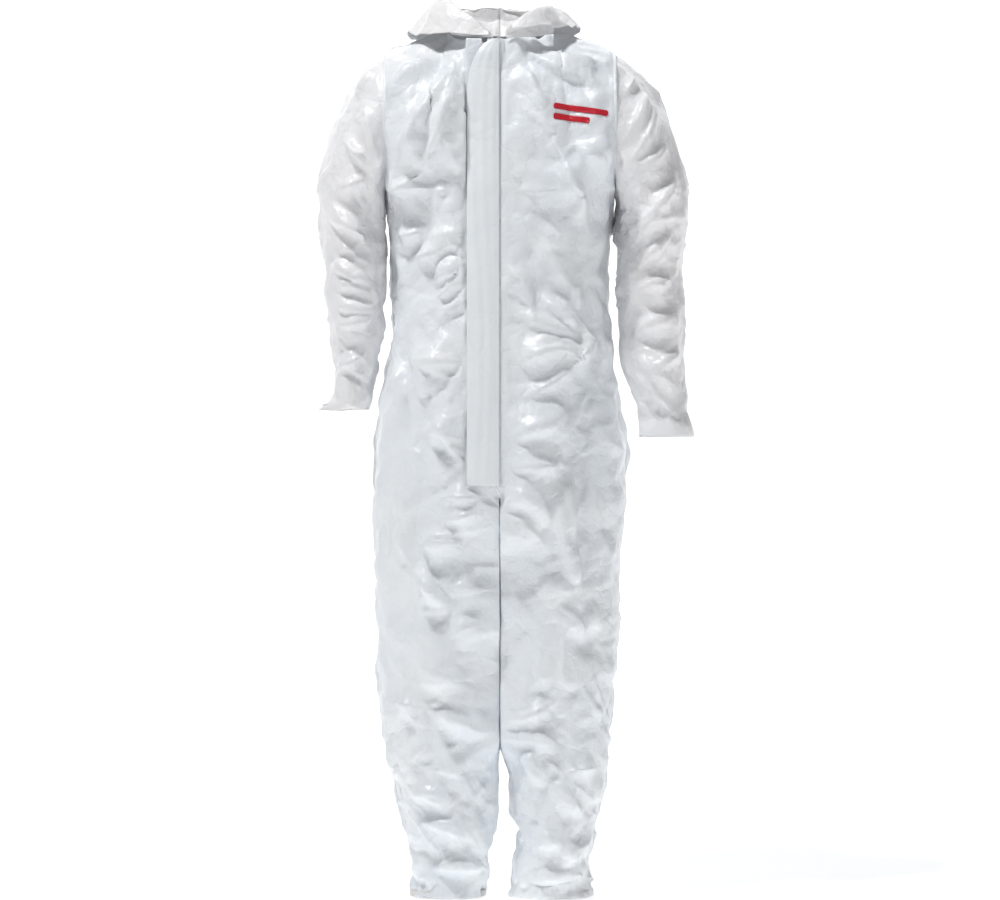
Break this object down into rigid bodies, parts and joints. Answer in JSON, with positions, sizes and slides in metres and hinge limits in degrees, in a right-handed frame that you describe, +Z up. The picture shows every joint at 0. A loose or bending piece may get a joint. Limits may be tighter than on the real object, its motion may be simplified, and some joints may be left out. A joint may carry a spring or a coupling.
{
  "type": "chemical protective suit",
  "caption": "White hooded disposable coverall shown as worn, with front zip under a storm flap, elastic wrists, ankles and back waist, hood folded down.",
  "frame": {"origin": "on the wearer's centre line, level with the ankle hems, midway between the two ankles", "axes": "+Z up along the wearer, -Y the front with the zip, +X the wearer's left"},
  "size_m": [0.607, 0.3795, 1.46],
  "materials": {
    "body_film": "crisp white microporous film laminated on non-woven, soft gloss, fine creases",
    "sleeve_film": "crisp white microporous film laminated on non-woven, soft gloss, fine creases",
    "hood_film": "crisp white microporous film laminated on non-woven, soft gloss, fine creases",
    "flap_film": "crisp white microporous film laminated on non-woven, soft gloss, fine creases",
    "tape": "woven polyester tape",
    "coil": "moulded nylon coil",
    "slider": "white enamel",
    "elastic": "covered rubber elastic",
    "mark": "printed red"
  },
  "bodies": {
    "suit": {"front_panel_left": "body_film", "front_panel_right": "body_film", "back_panel_left": "body_film", "back_panel_right": "body_film", "hood_roll_left": "hood_film", "hood_roll_right": "hood_film", "waist_elastic": "elastic", "zip_tape_left": "tape", "zip_tape_right": "tape", "zip_coil_left": "coil", "zip_coil_right": "coil", "zip_top_stops": "coil", "zip_bottom_stop": "coil", "chest_mark": "mark"},
    "hood": {"hood_left": "hood_film", "hood_right": "hood_film", "face_elastic": "elastic"},
    "flap": {"storm_flap": "flap_film"},
    "slider": {"zip_slider": "slider", "zip_pull_tab": "slider"},
    "left_upper_arm": {"upper_sleeve_left": "sleeve_film"},
    "left_forearm": {"lower_sleeve_left": "sleeve_film", "wrist_elastic_left": "elastic"},
    "left_shin": {"lower_leg_front_left": "body_film", "lower_leg_back_left": "body_film", "ankle_elastic_left": "elastic"},
    "right_upper_arm": {"upper_sleeve_right": "sleeve_film"},
    "right_forearm": {"lower_sleeve_right": "sleeve_film", "wrist_elastic_right": "elastic"},
    "right_shin": {"lower_leg_front_right": "body_film", "lower_leg_back_right": "body_film", "ankle_elastic_right": "elastic"}
  },
  "joints": [
    {"name": "left_shoulder", "type": "hinge", "parent": "suit", "child": "left_upper_arm", "pos_m": [0.1856, 0.014, 1.255], "axis": [-1, 0, 0], "range_deg": [-25, 110]},
    {"name": "left_elbow", "type": "hinge", "parent": "left_upper_arm", "child": "left_forearm", "pos_m": [0.243, -0.0586, 1], "axis": [-1, 0, 0], "range_deg": [0, 95]},
    {"name": "left_knee", "type": "hinge", "parent": "suit", "child": "left_shin", "pos_m": [0.094, 0.096, 0.32], "axis": [1, 0, 0], "range_deg": [0, 90]},
    {"name": "right_shoulder", "type": "hinge", "parent": "suit", "child": "right_upper_arm", "pos_m": [-0.1856, 0.014, 1.255], "axis": [-1, 0, 0], "range_deg": [-25, 110]},
    {"name": "right_elbow", "type": "hinge", "parent": "right_upper_arm", "child": "right_forearm", "pos_m": [-0.243, -0.0586, 1], "axis": [-1, 0, 0], "range_deg": [0, 95]},
    {"name": "right_knee", "type": "hinge", "parent": "suit", "child": "right_shin", "pos_m": [-0.094, 0.096, 0.32], "axis": [1, 0, 0], "range_deg": [0, 90]},
    {"name": "hood_raise", "type": "hinge", "parent": "suit", "child": "hood", "pos_m": [0, 0.092, 1.453], "axis": [1, 0, 0], "range_deg": [0, 120]},
    {"name": "flap_open", "type": "hinge", "parent": "suit", "child": "flap", "pos_m": [0, -0.12035, 1.02949], "axis": [0, 0.0543, 0.9985], "range_deg": [0, 140]},
    {"name": "zip_slide", "type": "slide", "parent": "suit", "child": "slider", "axis": [0, -0.0543, -0.9985], "range_m": [0, 0.64]}
  ]
}
